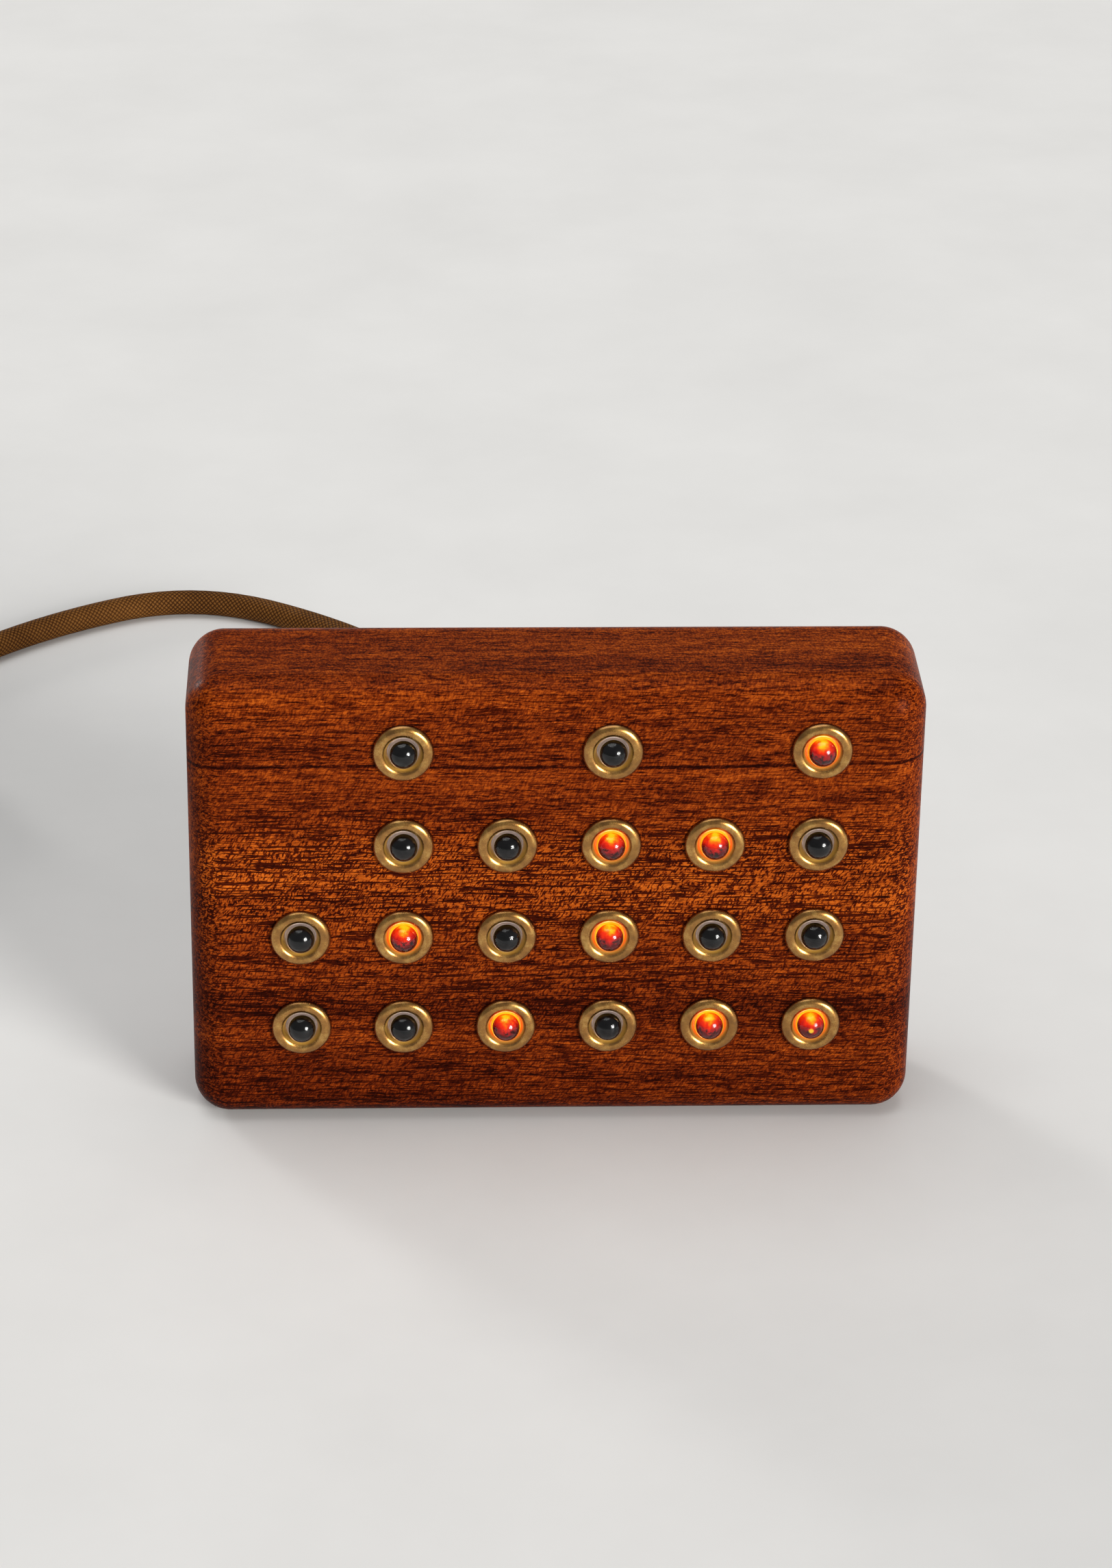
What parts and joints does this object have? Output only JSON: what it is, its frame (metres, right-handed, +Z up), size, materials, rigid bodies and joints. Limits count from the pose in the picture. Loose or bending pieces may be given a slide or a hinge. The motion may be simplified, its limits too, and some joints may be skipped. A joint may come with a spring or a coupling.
{
  "type": "binary clock",
  "caption": "Free-standing wooden block clock with clear LEDs in domed brass eyelets on its front, two set buttons in its back panel and a braided low-voltage cord with a plug.",
  "frame": {"origin": "middle of the base, on the surface the clock stands on", "axes": "+Z up, the front face with the LEDs looks along -Y, +X to the right seen from the front"},
  "size_m": [0.2534, 0.2097, 0.081],
  "materials": {
    "block_wood": "satin oil",
    "panel_wood": "satin oil",
    "brass": "satin, fine scratches",
    "led_epoxy": "water clear",
    "tinned_copper": "tinned",
    "board": "solder resist",
    "screw_steel": "zinc plated",
    "screw_brass": "satin",
    "chip_moulding": "moulded epoxy",
    "can_metal": "drawn can",
    "switch_plastic": "moulded",
    "button_plastic": "fine satin",
    "terminal_plastic": "moulded",
    "wire_insulation": "extruded",
    "grommet_rubber": "moulded",
    "cord_braid": "braided",
    "tie_strap": "woven",
    "plug_plastic": "moulded",
    "plug_metal": "nickel plated",
    "plug_tongue": "moulded",
    "contact_gold": "gold plated"
  },
  "bodies": {
    "clock": {"wood_body": "block_wood", "back_panel": "panel_wood", "brass_eyelets": "brass", "leds": "led_epoxy", "led_leads": "tinned_copper", "circuit_board": "board", "board_screws": "screw_steel", "panel_screws": "screw_brass", "microcontroller": "chip_moulding", "clock_chip": "chip_moulding", "digit_driver": "chip_moulding", "controller_socket": "chip_moulding", "resistor_network": "chip_moulding", "supply_capacitor": "chip_moulding", "backup_cell": "can_metal", "clock_crystal": "can_metal", "hour_switch": "switch_plastic", "minute_switch": "switch_plastic", "cell_holder": "switch_plastic", "terminal_block": "terminal_plastic", "supply_wires": "wire_insulation", "cord_grommet": "grommet_rubber", "cord_tube": "cord_braid", "cord_coil": "cord_braid", "cord_tie": "tie_strap", "plug_grip": "plug_plastic", "plug_shell": "plug_metal", "plug_insulator": "plug_tongue", "plug_contacts": "contact_gold"},
    "hour_button": {"hour_button": "button_plastic"},
    "minute_button": {"minute_button": "button_plastic"}
  },
  "joints": [
    {"name": "hour_press", "type": "slide", "parent": "clock", "child": "hour_button", "axis": [0, -1, 0], "range_m": [0, 0.0005], "stiffness_N_per_m": 3000},
    {"name": "minute_press", "type": "slide", "parent": "clock", "child": "minute_button", "axis": [0, -1, 0], "range_m": [0, 0.0005], "stiffness_N_per_m": 3000}
  ]
}
